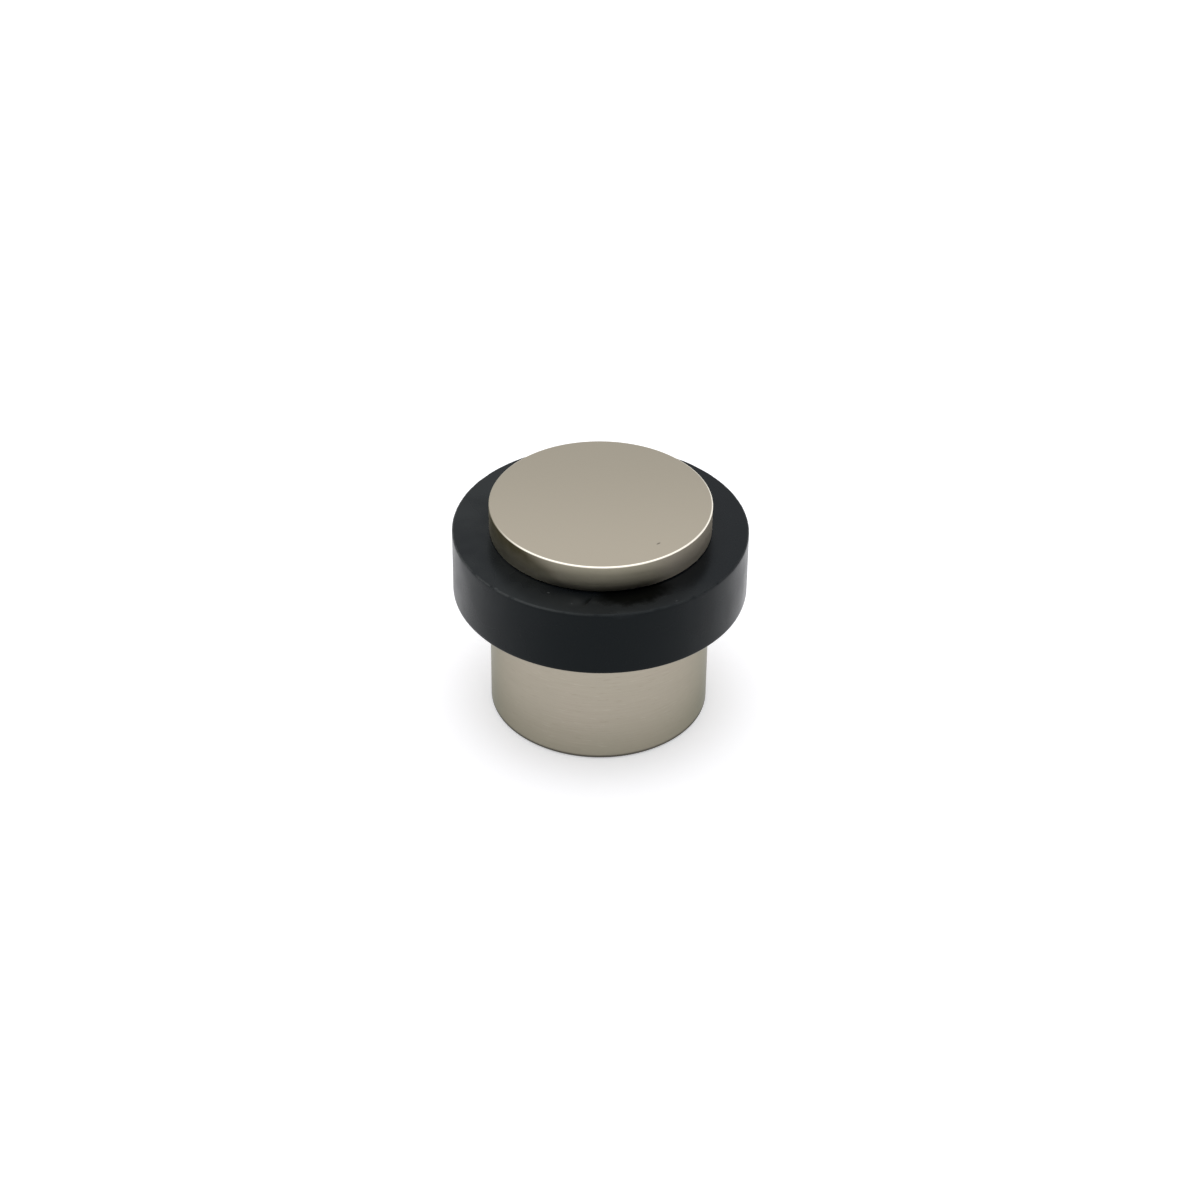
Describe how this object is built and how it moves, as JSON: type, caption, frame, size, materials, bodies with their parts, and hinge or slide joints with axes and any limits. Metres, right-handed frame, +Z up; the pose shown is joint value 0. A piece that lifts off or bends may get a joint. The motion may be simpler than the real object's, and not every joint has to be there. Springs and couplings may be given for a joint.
{
  "type": "floor door stop",
  "caption": "Short cylindrical floor door stop: a turned metal base and a screw-on cap hold a wider black rubber ring between them, which cushions the door.",
  "frame": {"origin": "centre of the base's underside, on the floor", "axes": "+Z up along the axis of the turned base, ring and cap"},
  "size_m": [0.04, 0.04, 0.032],
  "materials": {
    "satin_nickel": "satin",
    "black_rubber": "matte"
  },
  "bodies": {
    "root": {"base_body": "satin_nickel", "rubber_ring": "black_rubber", "top_cap": "satin_nickel"}
  },
  "joints": []
}
